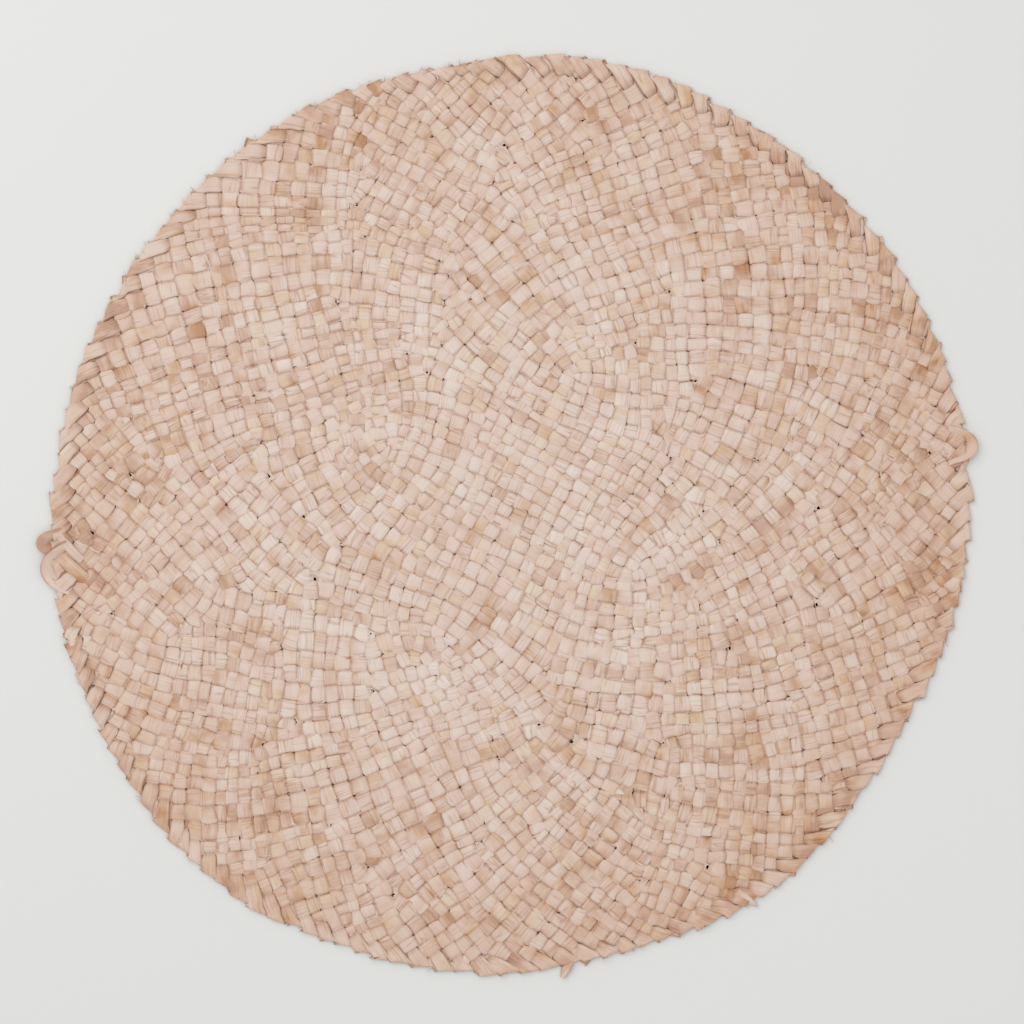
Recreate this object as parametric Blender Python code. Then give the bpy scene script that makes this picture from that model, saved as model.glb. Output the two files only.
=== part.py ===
"""Round placemat plaited from flat leaf strips: one flat solid with a folded rim and slack loops.

The mat lies on the XY plane. The origin is the centre of its underside and +Z points up.
"""

import math

import bmesh
import bpy
from mathutils import Vector

MM = 0.001

# Sizes of the mat
MEAN_RADIUS = 190 * MM
FIELD_THICKNESS = 1.9 * MM
SWELL = 0.2 * MM  # how far the plaiting rises and falls over the mat
SWELLS = 3  # rises in one turn

# The rim: every strip that reaches it is folded back, slanted, over its neighbours
FOLDS = 144
STEPS_PER_FOLD = 3
RIM_WIDTH = 6.6 * MM
RIM_THICKNESS = 2.6 * MM
RIM_UNDERCUT = 0.6 * MM  # how far the rounded edge draws in, above and below
TOOTH = 1.0 * MM  # how far a fold's sharp corner stands out past its blunt one
ROUNDING = 0.01  # of a fold, more than the error in a point's bearing

# Waves of the uneven outline: waves in one turn, height, and the bearing of a crest in degrees
OUTLINE_WAVES = (
    {"waves": 2, "height": 2.6 * MM, "crest": 47},
    {"waves": 3, "height": 0.5 * MM, "crest": -6},
    {"waves": 5, "height": 0.8 * MM, "crest": 10},
    {"waves": 6, "height": 0.6 * MM, "crest": 6},
    {"waves": 8, "height": 0.5 * MM, "crest": -8},
    {"waves": 9, "height": 0.5 * MM, "crest": -8},
    {"waves": 10, "height": 0.3 * MM, "crest": 14},
)

# Slack strips past the rim: bearing in degrees, width along the rim, reach past it, strip width
SLACK_STRIPS = (
    {"name": "left_hairpin", "bearing": 183.4, "span": 8 * MM, "reach": 6.6 * MM, "strip": 2.6 * MM},
    {"name": "left_bow", "bearing": 186.4, "span": 15 * MM, "reach": 5.4 * MM, "strip": 3.2 * MM},
    {"name": "right_loop", "bearing": 8.8, "span": 12 * MM, "reach": 5.6 * MM, "strip": 3.4 * MM},
    {"name": "lower_stub", "bearing": 276.6, "span": 5 * MM, "reach": 3.8 * MM, "strip": 2.8 * MM},
    {"name": "frayed_stub", "bearing": 302.0, "span": 5 * MM, "reach": 2.0 * MM, "strip": 2.8 * MM},
)
SLACK_THICKNESS = 1.4 * MM
SLACK_BASE = 0.4 * MM  # height of a slack strip's underside over the surface
SLACK_ROOT = 5 * MM  # how far inside the rim a slack strip starts
SLACK_POINTS = 13

# Dry leaf: pale tan, matt
LEAF_COLOUR = "CFB5A4"
LEAF_ROUGHNESS = 0.75


def clear_scene():
    for item in list(bpy.data.objects):
        bpy.data.objects.remove(item, do_unlink=True)


def new_collection(name):
    collection = bpy.data.collections.new(name)
    bpy.context.scene.collection.children.link(collection)
    return collection


def linear_colour(code):
    """Linear RGBA from an sRGB hex code."""
    shares = [int(code[i:i + 2], 16) / 255 for i in (0, 2, 4)]
    return [s / 12.92 if s <= 0.04045 else ((s + 0.055) / 1.055) ** 2.4 for s in shares] + [1]


def leaf_material():
    material = bpy.data.materials.new("dry_leaf")
    material.use_nodes = True
    shader = material.node_tree.nodes["Principled BSDF"]
    shader.inputs["Base Color"].default_value = linear_colour(LEAF_COLOUR)
    shader.inputs["Roughness"].default_value = LEAF_ROUGHNESS
    shader.inputs["Metallic"].default_value = 0
    return material


def outline_radius(bearing):
    """Radius of the mat's uneven outline at a bearing in radians."""
    radius = MEAN_RADIUS
    for wave in OUTLINE_WAVES:
        radius += wave["height"] * math.cos(wave["waves"] * (bearing - math.radians(wave["crest"])))
    return radius


def rim_depth(radius):
    """0 at the mat's edge, 1 at the inner side of the folded rim and everywhere inside it."""
    return min((MEAN_RADIUS - radius) / RIM_WIDTH, 1)


def fold_rise(bearing):
    """1 at a fold's sharp corner, falling to its blunt corner, where the next fold begins."""
    place = bearing * FOLDS / math.tau
    return math.cos((place - math.floor(place + ROUNDING)) * math.pi / 2)


def swell(radius, bearing):
    """How far the field's top stands above its even height: nothing in the middle, most at the rim."""
    share = radius / MEAN_RADIUS
    return SWELL * share * math.cos(SWELLS * bearing + share * math.tau)


def section():
    """Points (radius, height) of half the mat's section, from the middle of the top to that of the underside."""
    field = [(MEAN_RADIUS * share, FIELD_THICKNESS) for share in (0, 0.35, 0.7)]
    inner = (MEAN_RADIUS - RIM_WIDTH, FIELD_THICKNESS)
    band = [(MEAN_RADIUS - RIM_WIDTH * share, RIM_THICKNESS) for share in (0.66, 0.33)]
    edge = [
        (MEAN_RADIUS - RIM_UNDERCUT, RIM_THICKNESS * 0.8),
        (MEAN_RADIUS, RIM_THICKNESS * 0.4),
        (MEAN_RADIUS - RIM_UNDERCUT, 0),
    ]
    return [*field, inner, *band, *edge, (0, 0)]


def shaped(co):
    """Where a point of the plain turned mat lies on the uneven one."""
    radius = co.xy.length
    bearing = math.atan2(co.y, co.x)
    depth = rim_depth(radius)
    rise = fold_rise(bearing)
    height = co.z
    if height > 0 and depth > 1 - ROUNDING:
        height += swell(radius, bearing)
    elif height > FIELD_THICKNESS:
        height = FIELD_THICKNESS + (height - FIELD_THICKNESS) * rise
    slanted = bearing - depth * math.tau / FOLDS
    reach = outline_radius(slanted) * radius / MEAN_RADIUS
    reach += TOOTH * (rise - 0.5) * max(1 - 3 * depth, 0)
    return Vector((reach * math.cos(slanted), reach * math.sin(slanted), height))


def turned_mat():
    """The section turned once round, with the folds of the rim and the uneven outline given to its points."""
    mesh = bmesh.new()
    profile = [mesh.verts.new((radius, 0, height)) for radius, height in section()]
    edges = [mesh.edges.new(pair) for pair in zip(profile, profile[1:])]
    bmesh.ops.spin(
        mesh,
        geom=profile + edges,
        axis=(0, 0, 1),
        cent=(0, 0, 0),
        angle=math.tau,
        steps=FOLDS * STEPS_PER_FOLD,
        use_merge=True,
    )
    bmesh.ops.remove_doubles(mesh, verts=mesh.verts, dist=0.01 * MM)
    for vert in mesh.verts:
        vert.co = shaped(vert.co)
    bmesh.ops.recalc_face_normals(mesh, faces=mesh.faces)
    return mesh


def slack_route(row):
    """Points along a slack strip, which bows out past the rim and comes back."""
    bearing = math.radians(row["bearing"])
    outward = Vector((math.cos(bearing), math.sin(bearing), 0))
    along = Vector((-outward.y, outward.x, 0))
    root = outward * (outline_radius(bearing) - SLACK_ROOT)
    half_span = (row["span"] - row["strip"]) / 2
    rise = SLACK_ROOT + row["reach"] - row["strip"] / 2
    route = []
    for index in range(SLACK_POINTS):
        turn = math.pi * index / (SLACK_POINTS - 1)
        route.append(root + along * half_span * math.cos(turn) + outward * rise * math.sin(turn))
    return route


def slack_strip(row, collection):
    """A slack strip as a closed flat band, which the mat is joined to."""
    curve = bpy.data.curves.new(row["name"], "CURVE")
    curve.dimensions = "3D"
    curve.bevel_depth = row["strip"] / 2
    curve.bevel_resolution = 2
    curve.use_fill_caps = True
    spline = curve.splines.new("POLY")
    spline.points.add(SLACK_POINTS - 1)
    for point, place in zip(spline.points, slack_route(row)):
        point.co = (*place, 1)
    tube = bpy.data.objects.new(row["name"] + "_curve", curve)
    collection.objects.link(tube)
    solid = bpy.data.meshes.new_from_object(tube.evaluated_get(bpy.context.evaluated_depsgraph_get()))
    bpy.data.objects.remove(tube, do_unlink=True)
    mesh = bmesh.new()
    mesh.from_mesh(solid)
    bmesh.ops.remove_doubles(mesh, verts=mesh.verts, dist=0.01 * MM)
    for vert in mesh.verts:
        vert.co.z = SLACK_BASE + (vert.co.z / row["strip"] + 0.5) * SLACK_THICKNESS
    bmesh.ops.recalc_face_normals(mesh, faces=mesh.faces)
    mesh.to_mesh(solid)
    mesh.free()
    band = bpy.data.objects.new(row["name"], solid)
    band.hide_render = True
    band.display_type = "WIRE"
    collection.objects.link(band)


def build_placemat():
    clear_scene()
    placemat = new_collection("placemat")
    slack = new_collection("slack_strips")
    for row in SLACK_STRIPS:
        slack_strip(row, slack)

    turned = turned_mat()
    data = bpy.data.meshes.new("mat")
    turned.to_mesh(data)
    turned.free()
    data.materials.append(leaf_material())
    data.shade_smooth()
    data.set_sharp_from_angle(angle=math.radians(30))
    mat = bpy.data.objects.new("mat", data)
    placemat.objects.link(mat)

    join = mat.modifiers.new("slack_strips", "BOOLEAN")
    join.operation = "UNION"
    join.solver = "EXACT"
    join.operand_type = "COLLECTION"
    join.collection = slack


build_placemat()
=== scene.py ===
import math
import random

import bmesh
import bpy
import numpy as np
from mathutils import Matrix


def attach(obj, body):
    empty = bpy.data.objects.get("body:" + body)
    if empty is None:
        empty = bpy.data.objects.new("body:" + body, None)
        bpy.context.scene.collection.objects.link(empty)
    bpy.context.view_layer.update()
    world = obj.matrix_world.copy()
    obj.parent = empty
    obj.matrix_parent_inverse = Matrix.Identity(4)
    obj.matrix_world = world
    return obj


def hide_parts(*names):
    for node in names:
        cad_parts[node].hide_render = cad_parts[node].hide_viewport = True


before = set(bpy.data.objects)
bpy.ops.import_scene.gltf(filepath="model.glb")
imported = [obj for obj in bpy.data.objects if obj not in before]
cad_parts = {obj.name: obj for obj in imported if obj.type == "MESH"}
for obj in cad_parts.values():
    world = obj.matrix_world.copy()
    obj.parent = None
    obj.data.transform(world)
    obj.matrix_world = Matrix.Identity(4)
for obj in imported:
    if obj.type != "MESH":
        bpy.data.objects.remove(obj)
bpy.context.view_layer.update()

MM = 0.001

# The mat, as the solid has it
MEAN_RADIUS = 190 * MM
OUTLINE_WAVES = (
    {"waves": 2, "height": 2.6 * MM, "crest": 47},
    {"waves": 3, "height": 0.5 * MM, "crest": -6},
    {"waves": 5, "height": 0.8 * MM, "crest": 10},
    {"waves": 6, "height": 0.6 * MM, "crest": 6},
    {"waves": 8, "height": 0.5 * MM, "crest": -8},
    {"waves": 9, "height": 0.5 * MM, "crest": -8},
    {"waves": 10, "height": 0.3 * MM, "crest": 14},
)

# The plait: strips run out from the middle in pairs, one turning clockwise and one counter-clockwise
PITCH = 5.87 * MM  # from one strip to the next
DIAGONAL = PITCH * math.sqrt(2)
RINGS = 46
EDGE_INSET = 0.5 * MM  # from the outline to the middle of the outermost crossings
# The four places where three sets of strips meet: bearing in degrees, rings out from the middle
MEETING_POINTS = (
    {"bearing": 66, "rings": 13},
    {"bearing": 147, "rings": 12},
    {"bearing": 245, "rings": 11},
    {"bearing": 334, "rings": 11},
)
GOLDEN_ANGLE = 137.508  # degrees from one new strand to the next, which spreads them evenly
INSERT_SCATTER = 24  # degrees
SEED = 16

# One leaf strip
STRIP_FILL = 1.2  # of the room it has between its neighbours
STRIP_THICKNESS = 0.46 * MM
WEAVE_RISE = 0.33 * MM  # a strip's middle over or under the plait's middle
RISE_SPREAD = 0.25  # of the weave's rise, from strip to strip
PLAIT_MIDDLE = 1.0 * MM
CROWN = 0.22 * MM  # from the middle of a strip's face down to its edges
SWELL = 0.2 * MM  # how far the plaiting rises and falls over the mat
SWELLS = 3  # rises in one turn
END_TUCK = 0.45  # of a cell, from a strip's end to the rim's outermost crossing
TURN_ROOM = 1.3  # of the usual room, where a strip turns round
PINCH = (-0.03, 0.18)  # least and most of a strip's width that it loses where it dives

STEPS = (0.0, 0.3, 0.5, 0.7)  # places of a strip's sections from one crossing to the next

# Strips are uneven: their widths as shares of the pitch, and where they wander as they run along
WIDTH_SPREAD = 0.23
WIDTH_WANDER = 0.12
WIDTH_LIMITS = (0.5, 1.55)
JITTER = 0.28 * MM  # of a crossing
HEIGHT_WANDER = 0.03 * MM
# Each wander has a size, its limits and the number of cells over which it changes
WANDERS = {
    "sideways": {"size": 0.16 * MM, "limits": (-0.22 * MM, 0.22 * MM), "cells": 1.2},
    "tilt": {"size": 0.06, "limits": (-0.07, 0.07), "cells": 1.5},
    "width": {"size": 0.08, "limits": (-0.05, 0.16), "cells": 0.8},
    "groove": {"size": 0.1 * MM, "limits": (-0.04 * MM, 0.22 * MM), "cells": 2.5},
}
GROOVE_WANDER = 0.1 * MM  # along the middle of a fold's or a slack strip's face
GROOVE_LIMITS = (-0.04 * MM, 0.2 * MM)

# The net of springs that settles the plait inside its outline
SETTLE_STEPS = 900
SPRING_STEP = 0.12
SPEED_KEPT = 0.9
DIAGONAL_STIFFNESS = 0.35  # of the stiffness along a strip
BEND_STIFFNESS = 0.25

# The folded rim
FOLD_WIDTH = 6.0 * MM
FOLD_EDGE = 9.3 * MM  # along the mat's edge
FOLD_TOP = 1.9 * MM
FOLD_CROWN = 0.1 * MM
# How uneven the folds are
FOLD_LIFT = 0.12 * MM
FOLD_SPREAD = {"width": 0.08, "edge": 0.1}
FOLD_REACH = {"mean": 0.1 * MM, "spread": 0.45 * MM}  # past the outermost crossing

# Slack strips at the rim, where the solid has them, and two that lie over it. A route's points are x, y,
# height and strip width in millimetres. A tint over 0 is pale, one under 0 brown. A tilt is in radians.
SLACK_STRIPS = {
    "left_hairpin": {"tint": -0.4, "tilt": -0.45, "route": (
        (-183.5, -6.4, 1.2, 3.8), (-188.0, -7.9, 1.5, 4.3), (-191.2, -8.9, 1.7, 4.5),
        (-193.3, -10.8, 1.7, 4.6), (-192.8, -12.9, 1.6, 4.6), (-190.4, -13.6, 1.5, 4.5),
        (-186.5, -14.0, 1.3, 4.3),
    )},
    "left_bow": {"tint": 0.35, "tilt": -0.45, "route": (
        (-182.0, -12.5, 1.8, 5.4), (-187.0, -15.6, 2.1, 5.4), (-189.9, -18.4, 2.0, 5.6),
        (-190.9, -21.3, 1.8, 5.9), (-190.3, -24.2, 1.7, 6.0), (-188.2, -26.8, 1.6, 6.0),
        (-185.2, -28.6, 1.5, 5.8), (-181.2, -30.6, 1.2, 5.6),
    )},
    "right_loop": {"tint": 0.1, "tilt": 0.45, "route": (
        (182.0, 35.3, 1.4, 5.0), (187.4, 33.1, 1.7, 5.3), (190.4, 31.6, 1.8, 5.3),
        (191.7, 29.7, 1.8, 5.2), (191.5, 27.7, 1.8, 5.2), (190.0, 26.2, 1.8, 5.2),
        (187.1, 24.8, 1.7, 5.1), (182.0, 23.3, 1.4, 4.9),
    )},
    "lower_stub": {"tint": -0.1, "tilt": 0.3, "route": (
        (27.4, -179.5, 1.3, 3.8), (24.8, -185.4, 1.5, 3.8), (23.3, -188.9, 1.5, 3.3),
        (22.1, -191.6, 1.3, 1.6),
    )},
    "frayed_stub": {"tint": 0.4, "tilt": 0.2, "route": (
        (94.5, -156.2, 1.8, 4.4), (98.4, -158.8, 1.9, 3.8), (101.2, -160.6, 1.7, 2.2),
        (103.2, -161.9, 1.5, 0.6),
    )},
    "pale_overlap": {"tint": 0.8, "tilt": 0.0, "route": (
        (-187.2, -7.2, 1.5, 2.6), (-185.0, -9.8, 2.35, 3.2), (-182.4, -12.8, 2.4, 3.8),
        (-179.6, -16.0, 2.1, 4.0), (-177.0, -18.8, 1.3, 3.8),
    )},
    "ochre_overlap": {"tint": -0.85, "tilt": 0.0, "route": (
        (-187.2, -16.0, 1.4, 5.2), (-184.4, -18.4, 2.2, 5.5), (-180.8, -21.7, 2.2, 5.6),
        (-177.2, -25.0, 1.7, 5.5), (-174.6, -27.4, 1.1, 5.2),
    )},
}
SLACK_CLEARANCE = 0.5 * MM  # from the table to the lower edge of a tilted strip

# Brown places of the leaf, under 0, and pale ones, over 0: x, y and reach in millimetres, and strength
STAINS = (
    (-61.7, 157.3, 3.4, -1.3),
    (189.6, 30.8, 2.8, -0.9),
    (-174.0, -28.6, 3.0, -0.7),
    (-56.3, 165.7, 2.8, -1.0),
    (-157.9, 63.9, 2.8, -0.9),
    (-64.4, 147.0, 2.5, -0.7),
    (98.0, 105.2, 4.5, -1.0),
    (38.7, 163.2, 3.5, -0.9),
    (2.7, 153.6, 2.5, -0.9),
    (129.0, 130.8, 9.0, -0.6),
    (131.1, -130.2, 11.0, -0.6),
    (-137.8, -31.6, 3.0, -0.9),
    (176.7, -22.6, 9.0, -0.4),
    (91.7, -155.0, 8.0, -0.5),
    (-150.6, -121.9, 8.0, -0.4),
    (-69.9, 135.0, 8.0, 0.8),
    (-108.0, 137.0, 8.0, 0.5),
    (-30.0, -70.0, 12.0, 0.3),
    (70.0, 60.0, 12.0, 0.3),
)

# Loose fibres at the rim, a share of them round one bearing, which is in degrees as its spread is
FIBRES = 80
FRAYED = {"bearing": 122, "spread": 20, "share": 0.4}
FIBRE_LENGTH = (2.2 * MM, 4.6 * MM)
FIBRE_HEIGHT = (1.0 * MM, 2.1 * MM)
FIBRE_ROOT = 1.6 * MM  # inside the outline
FIBRE_WIDTH = {"root": 0.48 * MM, "tip": 0.12 * MM, "scale": (0.7, 1.5)}
FIBRE_TURN = (0.7, 0.5)  # clockwise from straight out, mean and spread in radians
FIBRE_BEND = 0.5 * MM
FIBRE_TINT = 0.4

# Noise on the leaf: how long and wide its patches are. A start of its own makes each noise another one.
# Real leaf fibres are about 0.2 mm apart. They are drawn four times as coarse, so that they show.
LEAF_NOISES = {
    "fibres": {"along": 24 * MM, "across": 0.8 * MM, "start": 0.0, "detail": 2.0},
    "patches": {"along": 11 * MM, "across": 7 * MM, "start": 31.0, "detail": 2.0},
    "hue": {"along": 14 * MM, "across": 9 * MM, "start": 67.0, "detail": 1.0},
    "splits": {"along": 45 * MM, "across": 2.6 * MM, "start": 13.0, "detail": 1.0},
    "ribs": {"along": 30 * MM, "across": 1.1 * MM, "start": 41.0, "detail": 0.0},
    # Where the seams and corners get painted shade
    "shade_patches": {"along": 6 * MM, "across": 6 * MM, "start": 53.0, "detail": 1.0},
}
SEED_SPAN = 97.0  # from the first strip's noise to the last one's
AREA_SIZE = 22 * MM
AREA_DETAIL = 1.5

# The leaf's colours, from its brownest tone, 0, to its palest, 1
PINK_LEAF = {0.0: "C1A08C", 0.2: "CFB2A0", 0.5: "D9C3B6", 0.8: "DCCAC0", 1.0: "DFD1C8"}
STRAW_LEAF = {0.0: "BA906B", 0.2: "CDAB8C", 0.5: "D8BFA8", 0.8: "DCCAB7", 1.0: "DFD1C4"}
RIM_TINGE = "F6EBE2"
# Painted shade: the warm brown of the seams, dives, splits and rib valleys
SEAM_SHADE_BROWN = "B2845A"
# Painted shade: the near black brown of shaded holes at some cell corners
HOLE_SHADE_BROWN = "5A3824"
# The least tone, and how far each thing moves it: the strip, the mat's areas, its stains, its fibres
TONE = {"least": 0.26, "own": 0.5, "areas": 0.8, "tint": 0.45, "fibres": 0.38}
PALEST_MIDDLE = (-10 * MM, 10 * MM, 0)
PATCHES = {"middle": 0.75, "rim": 1.5}  # in the middle, and how much is added out at the rim
RIM_BROWNING = {"start": 0.42, "reach": 140 * MM, "power": 1.5}
# How strongly painted shade darkens the leaf to warm brown: where it dives, in its splits and in its rib
# valleys
SHADE_STRENGTH = {"dive": 0.54, "split": 0.36, "rib": 0.3}
LEAF_ROUGHNESS = 0.62
LEAF_IOR = 1.45
BUMP = {"strength": 0.42, "distance": 0.15 * MM}

# The studio
CAMERA_PLACE = (1.4 * MM, 1.55 * MM, 1.004)
LENS = 85
LIGHTS = (
    {"name": "key", "place": (-0.9, 0.8, 1.5), "size": 1.8, "power": 17},
    {"name": "fill", "place": (0.9, -0.5, 1.7), "size": 2.0, "power": 6},
)
SKY_STRENGTH = 0.66
FLOOR_REACH = 3
FLOOR_DROP = 0.05 * MM
FLOOR_COLOUR = "DCDCDA"

CLOCKWISE, COUNTER = 0, 1  # a strand's two limbs, one turning clockwise and one counter-clockwise

rng = np.random.default_rng(SEED)


def outline_radius(bearing):
    """Radius of the mat's uneven outline at each bearing in radians."""
    radius = np.full(np.shape(bearing), MEAN_RADIUS)
    for wave in OUTLINE_WAVES:
        radius = radius + wave["height"] * np.cos(wave["waves"] * (bearing - math.radians(wave["crest"])))
    return radius


def swell(places):
    """How far the plaiting stands above its even height."""
    share = np.linalg.norm(places, axis=1) / MEAN_RADIUS
    bearing = np.arctan2(places[:, 1], places[:, 0])
    return SWELL * share * np.cos(SWELLS * bearing + share * math.tau)


def ring_radius(ring):
    """Radius of a ring of crossings before the plait settles."""
    return (ring - 0.5) * DIAGONAL / 2


def angle_between(a, b):
    """The smaller angle between two bearings in degrees."""
    return abs((a - b + 180) % 360 - 180)


class Plait:
    """Which strips cross where: rings of crossings, each outside the last.

    A strand is two limbs that run out from where it was laid in, one turning clockwise and one
    counter-clockwise. Every crossing is of one strand's clockwise limb with another's counter-clockwise limb.
    The quads are the cells between four crossings.
    """

    def __init__(self):
        self.crossings = []
        self.strands = []
        self.quads = []
        self.ring = []
        self.turn = 0
        self.scatter = random.Random(SEED)

    def new_strand(self, base=None):
        """A strand that turns round between the crossings of its base, or none for the first ones."""
        self.strands.append({"limbs": ([], []), "base": base})
        return len(self.strands) - 1

    def cross(self, ring, bearing, clockwise, counter):
        """A crossing of one strand's clockwise limb with another's counter-clockwise limb."""
        index = len(self.crossings)
        self.crossings.append({"ring": ring, "bearing": bearing % 360, "strands": (clockwise, counter)})
        self.strands[clockwise]["limbs"][CLOCKWISE].append(index)
        self.strands[counter]["limbs"][COUNTER].append(index)
        return index

    def gaps(self):
        """The gaps between the last ring's crossings."""
        rows = []
        for a, b in zip(self.ring, self.ring[1:] + self.ring[:1]):
            limb = self.strands[self.crossings[a]["strands"][CLOCKWISE]]["limbs"][CLOCKWISE]
            start = self.crossings[a]["bearing"]
            rows.append({
                "a": a,
                "b": b,
                "below": limb[-2] if len(limb) > 1 else None,
                "start": start,
                "width": (self.crossings[b]["bearing"] - start) % 360,
            })
        return rows

    def inserts(self, number, gaps):
        """The gaps of a ring where a new strand is laid in."""
        middles = [gap["start"] + gap["width"] / 2 for gap in gaps]
        chosen = set()
        for point in MEETING_POINTS:
            if number <= point["rings"]:
                corners = [i for i, gap in enumerate(gaps) if gap["below"] is None]
                chosen.add(min(corners, key=lambda i: angle_between(middles[i], point["bearing"])))
        wanted = round(math.tau * ring_radius(number) / DIAGONAL)
        while len(gaps) + len(chosen) < wanted:
            self.turn += GOLDEN_ANGLE
            bearing = self.turn + self.scatter.uniform(-INSERT_SCATTER, INSERT_SCATTER)
            best = min(range(len(gaps)), key=lambda i: angle_between(middles[i], bearing))
            beside = {(best - 1) % len(gaps), best, (best + 1) % len(gaps)}
            if gaps[best]["below"] is not None and not beside & chosen:
                chosen.add(best)
        return chosen

    def add_ring(self, number):
        """One crossing in each gap of the last ring, or two where a new strand is laid in."""
        gaps = self.gaps()
        chosen = self.inserts(number, gaps)
        ring = []
        for i, gap in enumerate(gaps):
            a, b, below = gap["a"], gap["b"], gap["below"]
            counter = self.crossings[a]["strands"][COUNTER]
            clockwise = self.crossings[b]["strands"][CLOCKWISE]
            if i in chosen:
                new = self.new_strand(None if below is None else (a, b, below))
                left = self.cross(number, gap["start"] + gap["width"] * 0.25, new, counter)
                right = self.cross(number, gap["start"] + gap["width"] * 0.75, clockwise, new)
                ring += [left, right]
                if below is None:
                    self.quads.append((a, left, right, b))
            else:
                middle = self.cross(number, gap["start"] + gap["width"] * 0.5, clockwise, counter)
                ring.append(middle)
                if below is not None:
                    self.quads.append((below, a, middle, b))
        self.ring = ring

    def grow(self):
        """The whole plait, from the first strands in the middle out to the rim."""
        first = [self.new_strand() for _ in MEETING_POINTS]
        for i, point in enumerate(MEETING_POINTS):
            following = (i + 1) % len(MEETING_POINTS)
            width = (MEETING_POINTS[following]["bearing"] - point["bearing"]) % 360
            self.ring.append(self.cross(1, point["bearing"] + width / 2, first[following], first[i]))
        self.quads.append(tuple(self.ring))
        for number in range(2, RINGS + 1):
            self.add_ring(number)


def strand_path(strand):
    """A strand's crossings from its clockwise end to the other, and which limb each is on."""
    clockwise, counter = strand["limbs"]
    limbs = [CLOCKWISE] * len(clockwise) + [COUNTER] * len(counter)
    return np.array(clockwise[::-1] + counter), np.array(limbs)


def wander(count, step):
    """Smooth random values about 0, one for each of count places, which change over about step places."""
    knots = rng.normal(size=int(count / step) + 4)
    place = np.arange(count) / step + rng.uniform()
    index = place.astype(int)
    share = place - index
    share = share * share * (3 - 2 * share)
    return knots[index] * (1 - share) + knots[index + 1] * share


def strip_room(plait):
    """The width that each crossing's two strips would like to have."""
    room = np.zeros((len(plait.crossings), 2))
    for strand in plait.strands:
        path, limb = strand_path(strand)
        width = 1 + WIDTH_SPREAD * rng.normal() + WIDTH_WANDER * wander(len(path), 3)
        room[path, limb] = PITCH * np.clip(width, *WIDTH_LIMITS)
    return room


def settle(plait, room):
    """Places of the crossings and the strips' widths there: a net of springs drawn out to the outline."""
    bearings = np.radians([crossing["bearing"] for crossing in plait.crossings])
    radii = np.array([ring_radius(crossing["ring"]) for crossing in plait.crossings])
    places = np.stack([radii * np.cos(bearings), radii * np.sin(bearings)], axis=1)
    count = len(places)

    edges, rests, along, bends = [], [], [], []
    for strand in plait.strands:
        path, limb = strand_path(strand)
        crossed = room[path, 1 - limb]
        edges.append(np.stack([path[:-1], path[1:]], axis=1))
        rests.append((crossed[:-1] + crossed[1:]) / 2)
        along.append(np.stack([limb[:-1], limb[1:]], axis=1))
        bends.append(np.stack([path[:-2], path[1:-1], path[2:]], axis=1))
    edges, rests, along, bends = (np.concatenate(rows) for rows in (edges, rests, along, bends))
    quads = np.array(plait.quads)
    diagonals = np.concatenate([quads[:, [0, 2]], quads[:, [1, 3]]])
    across = np.tile(np.hypot(room[quads, CLOCKWISE].mean(axis=1), room[quads, COUNTER].mean(axis=1)), 2)
    rim = np.array(plait.ring)

    def gather(index, pull):
        """The sum of the pulls on each crossing."""
        return np.stack([np.bincount(index, pull[:, axis], count) for axis in (0, 1)], axis=1)

    speed = np.zeros_like(places)
    for _ in range(SETTLE_STEPS):
        force = np.zeros_like(places)
        for pairs, rest, stiffness in ((edges, rests, 1.0), (diagonals, across, DIAGONAL_STIFFNESS)):
            span = places[pairs[:, 1]] - places[pairs[:, 0]]
            length = np.maximum(np.linalg.norm(span, axis=1), 0.001 * MM)
            pull = (stiffness * (length - rest) / length)[:, None] * span
            force += gather(pairs[:, 0], pull) - gather(pairs[:, 1], pull)
        bend = places[bends[:, 0]] - 2 * places[bends[:, 1]] + places[bends[:, 2]]
        bend = BEND_STIFFNESS * bend
        force += 2 * gather(bends[:, 1], bend) - gather(bends[:, 0], bend) - gather(bends[:, 2], bend)
        speed = SPEED_KEPT * speed + SPRING_STEP * force
        places = places + speed
        bearing = np.arctan2(places[rim, 1], places[rim, 0])
        radius = outline_radius(bearing) - EDGE_INSET
        places[rim] = np.stack([radius * np.cos(bearing), radius * np.sin(bearing)], axis=1)

    # A strip is as wide as the strands that it crosses leave it
    stretch = np.linalg.norm(places[edges[:, 1]] - places[edges[:, 0]], axis=1) / rests
    total = np.zeros((count, 2))
    number = np.zeros((count, 2))
    for end in (0, 1):
        np.add.at(total, (edges[:, end], 1 - along[:, end]), stretch)
        np.add.at(number, (edges[:, end], 1 - along[:, end]), 1)
    inside = np.setdiff1d(np.arange(count), rim)
    places[inside] += JITTER * rng.normal(size=(len(inside), 2))
    return places, room * total / np.maximum(number, 1)


def smooth_route(points, places):
    """Places along a smooth curve through the points, and the curve's directions there."""
    padded = np.vstack([2 * points[0] - points[1], points, 2 * points[-1] - points[-2]])
    index = np.minimum(places.astype(int), len(points) - 2)
    t = (places - index)[:, None]
    a, b, c, d = (padded[index + k] for k in range(4))
    route = 0.5 * (2 * b + (c - a) * t + (2 * a - 5 * b + 4 * c - d) * t**2 + (3 * b - a - 3 * c + d) * t**3)
    way = 0.5 * ((c - a) + 2 * (2 * a - 5 * b + 4 * c - d) * t + 3 * (3 * b - a - 3 * c + d) * t**2)
    return route, way


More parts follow.
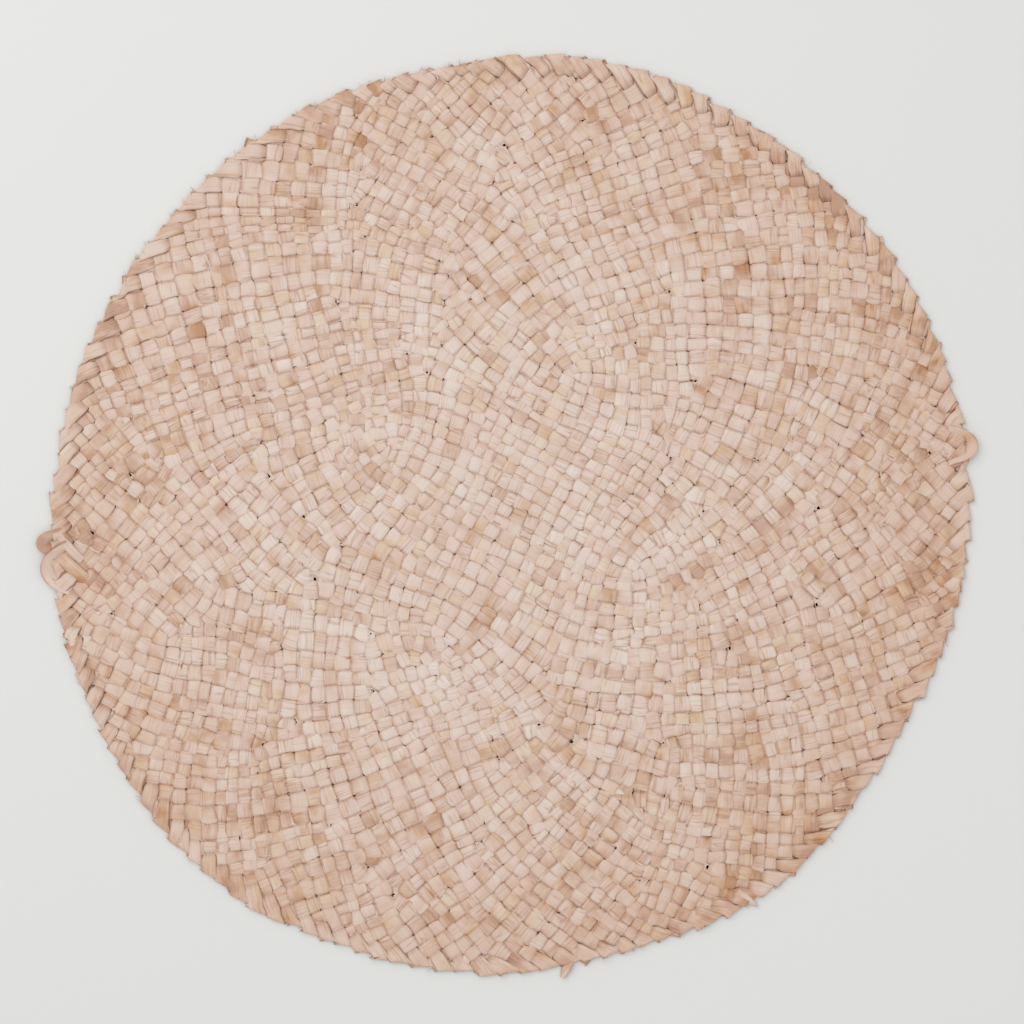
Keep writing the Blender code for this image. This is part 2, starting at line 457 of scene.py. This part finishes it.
# A strip's section, once round from its left edge: place across (-1 to 1) and height (-1 to 1)
SECTION = (
    {"across": -1, "height": 0},
    {"across": -0.7, "height": 0.85},
    {"across": 0, "height": 1},
    {"across": 0.7, "height": 0.85},
    {"across": 1, "height": 0},
    {"across": 0.5, "height": -1},
    {"across": -0.5, "height": -1},
    {"across": -1, "height": 0},
)
ACROSS = np.array([row["across"] for row in SECTION], float)
HEIGHT = np.array([row["height"] for row in SECTION], float)


def unit(vectors):
    """The vectors, each made one long."""
    return vectors / np.linalg.norm(vectors, axis=-1, keepdims=True)


def add_strip(mesh, middles, sides, ups, half_width, crown, groove, seed, recess, tint=0.0):
    """One closed leaf strip: a grid wrapped round the section and bent along the route.

    middles, sides and ups are the route, the unit vectors across it and those out of its face. crown lowers
    the edges, groove the middle of the face, and recess is 1 where the strip dives between its neighbours.
    Two attributes hold what the leaf reads: the place along and across the strip with its seed, and the
    share of the way to its edge with the recess and the tint.
    """
    count = len(middles)
    tint = tint + stain(middles)
    grid = bmesh.ops.create_grid(mesh, x_segments=len(SECTION) - 1, y_segments=count - 1, size=1)
    verts = grid["verts"]
    across = ACROSS[None, :] * half_width[:, None]
    lift = HEIGHT[None, :] * STRIP_THICKNESS / 2 - crown[:, None] * ACROSS[None, :] ** 2
    lift = lift - groove[:, None] * (ACROSS[None, :] == 0)
    places = middles[:, None, :] + across[:, :, None] * sides[:, None, :] + lift[:, :, None] * ups[:, None, :]
    along = np.concatenate([[0], np.cumsum(np.linalg.norm(np.diff(middles, axis=0), axis=1))])
    leaf = mesh.verts.layers.float_vector["leaf"]
    face = mesh.verts.layers.float_vector["face"]
    for index, vert in enumerate(verts):
        row, column = divmod(index, len(SECTION))
        vert.co = places[row, column]
        vert[leaf] = (along[row], across[row, column], seed)
        vert[face] = (ACROSS[column], recess[row], tint[row])
    seam = [vert for index, vert in enumerate(verts) if index % len(SECTION) in (0, len(SECTION) - 1)]
    bmesh.ops.remove_doubles(mesh, verts=seam, dist=0.001 * MM)


def stain(places):
    """How much browner or paler the leaf is at each place."""
    tint = np.zeros(len(places))
    for x, y, reach, strength in STAINS:
        away = np.hypot(places[:, 0] / MM - x, places[:, 1] / MM - y) / reach
        tint += strength * np.exp(-away**2)
    return tint


def new_strip_mesh():
    mesh = bmesh.new()
    mesh.verts.layers.float_vector.new("leaf")
    mesh.verts.layers.float_vector.new("face")
    return mesh


def finish_piece(mesh, name, material):
    """A piece of the mat: its strips' ends are closed, and their sharp edges stay sharp."""
    open_ends = [edge for edge in mesh.edges if edge.is_boundary]
    bmesh.ops.holes_fill(mesh, edges=open_ends, sides=0)
    bmesh.ops.recalc_face_normals(mesh, faces=mesh.faces)
    data = bpy.data.meshes.new(name)
    mesh.to_mesh(data)
    mesh.free()
    data.shade_smooth()
    data.set_sharp_from_angle(angle=math.radians(45))
    data.materials.append(material)
    piece = bpy.data.objects.new(name, data)
    bpy.context.scene.collection.objects.link(piece)
    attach(piece, "root")
    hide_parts("mat")
    return piece


def crossing_levels(plait, path, limb):
    """1 where the strand passes over, -1 under."""
    ring = np.array([plait.crossings[index]["ring"] for index in path])
    level = np.where(ring % 2 == limb, 1.0, -1.0)
    # At the rim the clockwise limb goes under and is folded back over the other one
    level[(ring == RINGS) & (limb == CLOCKWISE)] = -1.0
    level[(ring == RINGS) & (limb == COUNTER)] = 0.1
    return level


def strip_wander(kind, count):
    """Smooth random values, one for each section of a strip."""
    row = WANDERS[kind]
    return np.clip(row["size"] * wander(count, row["cells"] * len(STEPS)), *row["limits"])


def lay_strand(mesh, plait, places, widths, strand):
    """A strand from rim to rim, over one and under the next. Returns its flat area."""
    path, limb = strand_path(strand)
    points = places[path]
    levels = crossing_levels(plait, path, limb)
    room = widths[path, limb]
    if strand["base"]:
        # The strip turns round in the gap where it was laid in
        start = len(strand["limbs"][CLOCKWISE])
        corner = places[list(strand["base"]) + [path[start - 1], path[start]]].mean(axis=0)
        points = np.insert(points, start, corner, axis=0)
        levels = np.insert(levels, start, -0.5)
        room = np.insert(room, start, TURN_ROOM * room[start - 1:start + 1].mean())
    last = len(points) - 1
    at = (np.arange(last)[:, None] + np.array(STEPS)[None, :]).ravel()
    at = np.unique(np.clip(at, END_TUCK, last - END_TUCK))
    count = len(at)
    route, way = smooth_route(points, at)
    side = unit(np.column_stack([-way[:, 1], way[:, 0], np.zeros(count)]))

    index = np.minimum(at.astype(int), last - 1)
    share = at - index
    # A strip stays over or under for the first and last fifth of a cell and dives between them
    dive = np.clip((share - 0.2) / 0.6, 0, 1)
    dive = dive * dive * (3 - 2 * dive)
    level = levels[index] * (1 - dive) + levels[index + 1] * dive
    room = room[index] * (1 - share) + room[index + 1] * share
    rise = WEAVE_RISE * rng.uniform(1 - RISE_SPREAD, 1 + RISE_SPREAD)
    height = PLAIT_MIDDLE + swell(route) + rise * level + HEIGHT_WANDER * wander(count, len(STEPS))
    route = route + side[:, :2] * strip_wander("sideways", count)[:, None]
    middles = np.column_stack([route, height])
    side[:, 2] = strip_wander("tilt", count)
    side = unit(side)
    ups = np.cross(unit(np.gradient(middles, axis=0)), side)

    width = STRIP_FILL * room * (1 + strip_wander("width", count))
    recess = 1 - np.abs(level)
    half_width = width / 2 * (1 - rng.uniform(*PINCH) * recess)
    groove = strip_wander("groove", count)
    add_strip(mesh, middles, side, ups, half_width, CROWN * level, groove, strand["seed"], recess)
    steps = np.linalg.norm(np.diff(middles, axis=0), axis=1)
    return float(np.sum(steps * (width[1:] + width[:-1]) / 2))


def groove_depths(count, step):
    return np.clip(GROOVE_WANDER * wander(count, step), *GROOVE_LIMITS)


def fold_back(mesh, plait, places, crossing):
    """The end of a clockwise limb, folded up round the rim and laid back over the limb it crosses last."""
    folded, covered = plait.crossings[crossing]["strands"]
    under = plait.strands[folded]["limbs"][CLOCKWISE]
    over = plait.strands[covered]["limbs"][COUNTER]
    edge = np.array([*places[crossing], 0])
    outward = unit(edge)
    along = np.array([-outward[1], outward[0], 0])
    inner = np.array([*places[over[-2]], 0]) if len(over) > 1 else edge - (outward + along) * PITCH * 0.7
    back = inner - edge
    tuck = np.array([*places[over[-3]], 0]) if len(over) > 2 else inner + back
    start = np.array([*places[under[-2]], 0]) if len(under) > 1 else edge - (outward - along) * PITCH * 0.7
    edge = edge + outward * (FOLD_REACH["mean"] + FOLD_REACH["spread"] * rng.normal())
    up = np.array([0, 0, 1.0])
    fold_side = unit(along - 0.16 * outward - 0.06 * up)
    tail_side = unit(np.cross(up, -back))
    under_side = unit(np.cross(-up, start - edge))
    blend = unit(tail_side + fold_side)
    half = FOLD_WIDTH / 2 * (1 + FOLD_SPREAD["width"] * rng.normal())
    skew = FOLD_EDGE / 2 * (1 + FOLD_SPREAD["edge"] * rng.normal())
    lift = FOLD_LIFT * rng.normal()
    # Sections from the tucked tip back over the top, round the edge and in underneath:
    # place, height, direction across, direction out of the face, half width, and how far the strip dives
    rows = (
        (inner + (tuck - inner) * 0.66, 1.05 * MM, tail_side, up, half * 0.8, 1),
        (inner + (tuck - inner) * 0.42, 1.75 * MM, tail_side, up, half * 0.92, 0.7),
        (inner + (tuck - inner) * 0.12, FOLD_TOP - 0.05 * MM + lift, tail_side, up, half, 0.2),
        (inner + back * -0.45, FOLD_TOP + lift, tail_side, up, half, 0),
        (edge + back * 0.30, FOLD_TOP + 0.05 * MM + lift, blend, up, half * 0.5 + skew * 0.4, 0),
        (edge - outward * 0.45 * MM, FOLD_TOP - 0.05 * MM, fold_side, unit(up + 0.3 * outward), skew, 0),
        (edge, FOLD_TOP - 0.5 * MM, fold_side, unit(0.4 * up + outward), skew, 0),
        (edge - outward * 0.1 * MM, 0.75 * MM, fold_side, unit(outward - 0.4 * up), skew * 0.9, 0.2),
        (edge - outward * 0.8 * MM, 0.38 * MM, fold_side, -up, skew * 0.8, 0.6),
        (edge + (start - edge) * 0.8, 0.4 * MM, under_side, -up, half, 1),
    )
    route, heights, sides, ups, half_width, recess = (np.array(column, float) for column in zip(*rows))
    middles = route + heights[:, None] * up
    groove = groove_depths(len(rows), 3)
    crown = np.full(len(rows), FOLD_CROWN)
    add_strip(mesh, middles, sides, ups, half_width, crown, groove, plait.strands[folded]["seed"], recess)


def slack_strip(mesh, row):
    """A strip that bows out past the rim, or one that lies over it, with its face tilted."""
    points = np.array(row["route"]) * MM
    last = len(points) - 1
    at = np.linspace(0, last, 4 * last + 1)
    route, way = smooth_route(points, at)
    up = np.array([0, 0, 1.0])
    flat = unit(np.cross(up, way[:, :3]))
    reach = route[:, 3] / 2
    # The tilt lifts one edge and never takes the other down to the table
    most = np.arcsin(np.clip((route[:, 2] - SLACK_CLEARANCE) / reach, 0, 1))
    tilt = np.clip(row["tilt"], -most, most)[:, None]
    sides = unit(flat * np.cos(tilt) + up * np.sin(tilt))
    ups = unit(np.cross(way[:, :3], sides))
    half_width = reach / np.cos(tilt[:, 0])
    crown = np.full(len(at), CROWN)
    groove = groove_depths(len(at), 5)
    recess = np.zeros(len(at))
    seed = float(rng.uniform())
    add_strip(mesh, route[:, :3], sides, ups, half_width, crown, groove, seed, recess, row["tint"])


def frayed_fibre(mesh):
    """One loose fibre at the rim, tapering to its tip."""
    if rng.uniform() < FRAYED["share"]:
        bearing = math.radians(rng.normal(FRAYED["bearing"], FRAYED["spread"]))
    else:
        bearing = rng.uniform(0, math.tau)
    outward = np.array([math.cos(bearing), math.sin(bearing), 0])
    clockwise = np.array([outward[1], -outward[0], 0])
    turn = rng.normal(*FIBRE_TURN)
    way = outward * math.cos(turn) + clockwise * math.sin(turn)
    side = np.array([-way[1], way[0], 0])
    up = np.array([0, 0, 1.0])
    steps = np.linspace(0, 1, 4)
    length = rng.uniform(*FIBRE_LENGTH)
    bend = rng.normal(0, FIBRE_BEND)
    root = outward * (outline_radius(bearing) - FIBRE_ROOT) + up * rng.uniform(*FIBRE_HEIGHT)
    middles = root + np.outer(steps * length, way) + np.outer(steps**2 * bend, side)
    width = FIBRE_WIDTH["root"] + (FIBRE_WIDTH["tip"] - FIBRE_WIDTH["root"]) * steps
    half_width = width / 2 * rng.uniform(*FIBRE_WIDTH["scale"])
    flat = np.zeros(len(steps))
    sides = np.tile(side, (len(steps), 1))
    ups = np.tile(up, (len(steps), 1))
    add_strip(mesh, middles, sides, ups, half_width, flat, flat, float(rng.uniform()), flat, FIBRE_TINT)


def linear_colour(code):
    """Linear RGBA from an sRGB hex code."""
    shares = [int(code[i:i + 2], 16) / 255 for i in (0, 2, 4)]
    return [s / 12.92 if s <= 0.04045 else ((s + 0.055) / 1.055) ** 2.4 for s in shares] + [1]


def add_node(tree, kind, settings=(), inputs=(), output=0):
    """Adds a node with its settings and returns one of its outputs.

    An input is a value or, for a link, the output of another node.
    """
    node = tree.nodes.new(kind)
    for name, value in dict(settings).items():
        setattr(node, name, value)
    for name, value in dict(inputs).items():
        if isinstance(value, bpy.types.NodeSocket):
            tree.links.new(value, node.inputs[name])
        else:
            node.inputs[name].default_value = value
    return node.outputs[output]


# Kinds of node and their settings, which the leaf uses many times. A held sum stays from 0 to 1.
MATHS = "ShaderNodeMath"
TAKE_OFF = {"operation": "SUBTRACT"}
TIMES = {"operation": "MULTIPLY"}
TIMES_PLUS = {"operation": "MULTIPLY_ADD"}
HELD_TIMES_PLUS = {"operation": "MULTIPLY_ADD", "use_clamp": True}
POWER = {"operation": "POWER"}
UNSIGNED = {"operation": "ABSOLUTE"}
MIX = "ShaderNodeMix"
BLEND = {"data_type": "RGBA"}
DARKEN = {"data_type": "RGBA", "blend_type": "MULTIPLY"}
# Sockets of a Mix node that blends colours
FACTOR, FIRST, SECOND, MIXED = 0, 6, 7, 2


def strip_noise(tree, strip, row):
    """Noise about 0 that runs along a strip, another on each strip."""
    place = add_node(tree, "ShaderNodeCombineXYZ", (), {
        0: add_node(tree, MATHS, TIMES, {0: strip["along"], 1: 1 / row["along"]}),
        1: add_node(tree, MATHS, TIMES, {0: strip["across"], 1: 1 / row["across"]}),
        2: add_node(tree, MATHS, TIMES_PLUS, {0: strip["seed"], 1: SEED_SPAN, 2: row["start"]}),
    })
    noise = add_node(tree, "ShaderNodeTexNoise", (), {"Vector": place, "Scale": 1.0, "Detail": row["detail"]})
    return add_node(tree, MATHS, TAKE_OFF, {0: noise, 1: 0.5})


def strip_values(tree):
    """What the leaf reads from a strip: the values that add_strip wrote, and random ones of its own."""
    strip = {}
    for attribute, names in (("leaf", ("along", "across", "seed")), ("face", ("share", "recess", "tint"))):
        vector = add_node(tree, "ShaderNodeAttribute", {"attribute_name": attribute}, (), "Vector")
        separate = add_node(tree, "ShaderNodeSeparateXYZ", (), {0: vector}).node
        strip.update(zip(names, separate.outputs))
    own = add_node(tree, "ShaderNodeTexWhiteNoise", {"noise_dimensions": "1D"}, {"W": strip["seed"]}, "Value")
    colour = add_node(tree, "ShaderNodeSeparateColor", (), {0: own.node.outputs["Color"]}).node
    strip.update(own=own, seams=colour.outputs["Red"], ribs=colour.outputs["Blue"])
    return strip


def leaf_colour(tree, strip, noise, radius, place):
    """The leaf's own colour, before the painted shade at its splits, ribs, edges and dives: pink or straw,
    from brown to pale.
    """
    area = add_node(tree, "ShaderNodeTexNoise", (), {
        "Vector": place, "Scale": 1 / AREA_SIZE, "Detail": AREA_DETAIL,
    })
    area = add_node(tree, MATHS, TAKE_OFF, {0: area, 1: 0.5})
    patchy = {0: radius, 1: PATCHES["rim"] / MEAN_RADIUS, 2: PATCHES["middle"]}
    patchy = add_node(tree, MATHS, TIMES_PLUS, patchy)
    tone = add_node(tree, MATHS, TIMES_PLUS, {0: strip["own"], 1: TONE["own"], 2: TONE["least"]})
    tone = add_node(tree, MATHS, TIMES_PLUS, {0: noise["patches"], 1: patchy, 2: tone})
    tone = add_node(tree, MATHS, TIMES_PLUS, {0: area, 1: TONE["areas"], 2: tone})
    tone = add_node(tree, MATHS, TIMES_PLUS, {0: strip["tint"], 1: TONE["tint"], 2: tone})
    tone = add_node(tree, MATHS, HELD_TIMES_PLUS, {0: noise["fibres"], 1: TONE["fibres"], 2: tone})

    colours = []
    for stops in (PINK_LEAF, STRAW_LEAF):
        colour = add_node(tree, "ShaderNodeValToRGB", (), {"Fac": tone}, "Color")
        elements = colour.node.color_ramp.elements
        while len(elements) < len(stops):
            elements.new(0.5)
        for element, (position, code) in zip(elements, stops.items()):
            element.position = position
            element.color = linear_colour(code)
        colours.append(colour)
    pink, straw = colours
    hue = add_node(tree, MATHS, TIMES, {0: noise["hue"], 1: 5.0})
    hue = add_node(tree, MATHS, HELD_TIMES_PLUS, {0: strip["tint"], 1: -1.0, 2: hue})
    base = add_node(tree, MIX, BLEND, {FACTOR: hue, FIRST: pink, SECOND: straw}, MIXED)

    # The rim is browner than the middle, most of all at the lower right
    rim = {0: radius, 1: 1 / RIM_BROWNING["reach"], 2: -RIM_BROWNING["start"]}
    rim = add_node(tree, MATHS, HELD_TIMES_PLUS, rim)
    rim = add_node(tree, MATHS, POWER, {0: rim, 1: RIM_BROWNING["power"]})
    return add_node(tree, MIX, DARKEN, {FACTOR: rim, FIRST: base, SECOND: linear_colour(RIM_TINGE)}, MIXED)


def leaf_material():
    """Sun-dried leaf, cut into strips and plaited.

    It gives the eye a matt, pale face with fibres along each strip and tan patches, with painted warm brown
    shade at its edges, dives, splits and rib valleys and painted near black shade at some corners.
    """
    material = bpy.data.materials.new("sun_dried_leaf")
    material.use_nodes = True
    tree = material.node_tree
    shader = tree.nodes["Principled BSDF"]
    strip = strip_values(tree)
    noise = {name: strip_noise(tree, strip, row) for name, row in LEAF_NOISES.items()}
    place = add_node(tree, "ShaderNodeTexCoord", (), (), "Object")
    radius = {0: place, 1: PALEST_MIDDLE}
    radius = add_node(tree, "ShaderNodeVectorMath", {"operation": "DISTANCE"}, radius, "Value")
    base = leaf_colour(tree, strip, noise, radius, place)

    # A few thin splits run along a strip
    split = add_node(tree, MATHS, UNSIGNED, {0: noise["splits"]})
    split = add_node(tree, MATHS, HELD_TIMES_PLUS, {0: split, 1: -45.0, 2: 1.0})

    # Some strips are ribbed, most of all where they are brown or straw
    ribbed = add_node(tree, MATHS, TIMES_PLUS, {0: strip["ribs"], 1: 2.4, 2: -2.0})
    ribbed = add_node(tree, MATHS, TIMES_PLUS, {0: strip["tint"], 1: -1.5, 2: ribbed})
    ribbed = add_node(tree, MATHS, HELD_TIMES_PLUS, {0: noise["hue"], 1: 3.0, 2: ribbed})
    valley = add_node(tree, MATHS, UNSIGNED, {0: noise["ribs"]})
    valley = add_node(tree, MATHS, HELD_TIMES_PLUS, {0: valley, 1: -12.0, 2: 1.0})
    valley = add_node(tree, MATHS, TIMES, {0: valley, 1: ribbed})

    # Painted shade along a strip's edges, here and there and on some strips more than on others
    share = add_node(tree, MATHS, UNSIGNED, {0: strip["share"]})
    seam = add_node(tree, MATHS, TIMES_PLUS, {0: noise["shade_patches"], 1: 5.0, 2: -0.15})
    seam = add_node(tree, MATHS, HELD_TIMES_PLUS, {0: strip["seams"], 1: 1.6, 2: seam})
    edge = add_node(tree, MATHS, POWER, {0: share, 1: 10.0})
    edge = add_node(tree, MATHS, TIMES, {0: edge, 1: seam})

    # Painted shade: edges, splits, rib valleys and the places where a strip dives are darkened to a warm
    # brown
    painted_shade = add_node(tree, MATHS, POWER, {0: strip["recess"], 1: 2.2})
    painted_shade = add_node(tree, MATHS, TIMES_PLUS, {0: painted_shade, 1: SHADE_STRENGTH["dive"], 2: edge})
    painted_shade = add_node(tree, MATHS, TIMES_PLUS, {0: valley, 1: SHADE_STRENGTH["rib"], 2: painted_shade})
    painted_shade = add_node(tree, MATHS, HELD_TIMES_PLUS, {0: split, 1: SHADE_STRENGTH["split"], 2: painted_shade})
    painted_shade = {FACTOR: painted_shade, FIRST: base, SECOND: linear_colour(SEAM_SHADE_BROWN)}
    base = add_node(tree, MIX, DARKEN, painted_shade, MIXED)

    # Painted shade: some corners between cells are darkened to a near black brown, as shade in a hole where a
    # strip's edge dives
    corner = add_node(tree, MATHS, POWER, {0: share, 1: 4.0})
    corner = add_node(tree, MATHS, TIMES, {0: corner, 1: strip["recess"]})
    corner = add_node(tree, MATHS, HELD_TIMES_PLUS, {0: corner, 1: 3.0, 2: -0.85})
    hole_shade_spots = add_node(tree, MATHS, HELD_TIMES_PLUS, {0: noise["shade_patches"], 1: 9.0, 2: 0.3})
    corner = add_node(tree, MATHS, TIMES, {0: corner, 1: hole_shade_spots})
    corner = {FACTOR: corner, FIRST: base, SECOND: linear_colour(HOLE_SHADE_BROWN)}
    base = add_node(tree, MIX, DARKEN, corner, MIXED)
    tree.links.new(base, shader.inputs["Base Color"])

    shader.inputs["Roughness"].default_value = LEAF_ROUGHNESS
    shader.inputs["IOR"].default_value = LEAF_IOR
    height = add_node(tree, MATHS, TIMES_PLUS, {0: valley, 1: -0.8, 2: noise["fibres"]})
    height = add_node(tree, MATHS, TIMES_PLUS, {0: split, 1: -0.6, 2: height})
    bump = {"Height": height, "Strength": BUMP["strength"], "Distance": BUMP["distance"]}
    tree.links.new(add_node(tree, "ShaderNodeBump", (), bump, "Normal"), shader.inputs["Normal"])
    return material


def add_camera():
    data = bpy.data.cameras.new("camera")
    data.lens = LENS
    camera = bpy.data.objects.new("camera", data)
    camera.location = CAMERA_PLACE
    bpy.context.scene.collection.objects.link(camera)
    bpy.context.scene.camera = camera


def add_light(row):
    """A square light that faces the mat."""
    data = bpy.data.lights.new(row["name"], "AREA")
    data.size = row["size"]
    data.energy = row["power"]
    light = bpy.data.objects.new(row["name"], data)
    light.location = row["place"]
    light.rotation_euler = (-light.location).to_track_quat("-Z", "Y").to_euler()
    bpy.context.scene.collection.objects.link(light)


def add_sky():
    sky = bpy.data.worlds.new("studio")
    bpy.context.scene.world = sky
    sky.use_nodes = True
    background = sky.node_tree.nodes["Background"]
    background.inputs["Color"].default_value = (1, 1, 1, 1)
    background.inputs["Strength"].default_value = SKY_STRENGTH


def add_floor():
    """Matt floor paint, plain and pale."""
    mesh = bmesh.new()
    bmesh.ops.create_grid(mesh, x_segments=1, y_segments=1, size=FLOOR_REACH)
    data = bpy.data.meshes.new("floor")
    mesh.to_mesh(data)
    mesh.free()
    floor = bpy.data.objects.new("floor", data)
    floor.location.z = -FLOOR_DROP
    material = bpy.data.materials.new("floor_paint")
    material.use_nodes = True
    shader = material.node_tree.nodes["Principled BSDF"]
    shader.inputs["Base Color"].default_value = linear_colour(FLOOR_COLOUR)
    data.materials.append(material)
    bpy.context.scene.collection.objects.link(floor)


plait = Plait()
plait.grow()
places, widths = settle(plait, strip_room(plait))
for strand in plait.strands:
    strand["seed"] = float(rng.uniform())
material = leaf_material()

# The plait's strips, in the order in which they were laid in, shared between three pieces
piece_names = ("first_strips", "middle_strips", "last_strips")
meshes = [new_strip_mesh() for _ in piece_names]
areas = [0.0] * len(meshes)
laid = 0
for strand in plait.strands:
    group = min(int(laid / (2 * len(plait.crossings)) * len(meshes)), len(meshes) - 1)
    laid += sum(len(limb) for limb in strand["limbs"])
    areas[group] += lay_strand(meshes[group], plait, places, widths, strand)

# The rim's folds, slack strips and loose fibres
rim = new_strip_mesh()
for crossing in plait.ring:
    fold_back(rim, plait, places, crossing)
rim_folds = finish_piece(rim, "rim_folds", material)
slack = new_strip_mesh()
for row in SLACK_STRIPS.values():
    slack_strip(slack, row)
slack_strips = finish_piece(slack, "slack_strips", material)
fray = new_strip_mesh()
for _ in range(FIBRES):
    frayed_fibre(fray)
frayed_fibres = finish_piece(fray, "frayed_fibres", material)
for mesh, name, area in zip(meshes, piece_names, areas):
    piece = finish_piece(mesh, name, material)

add_camera()
for row in LIGHTS:
    add_light(row)
add_floor()
add_sky()
bpy.context.scene.view_settings.view_transform = "Standard"
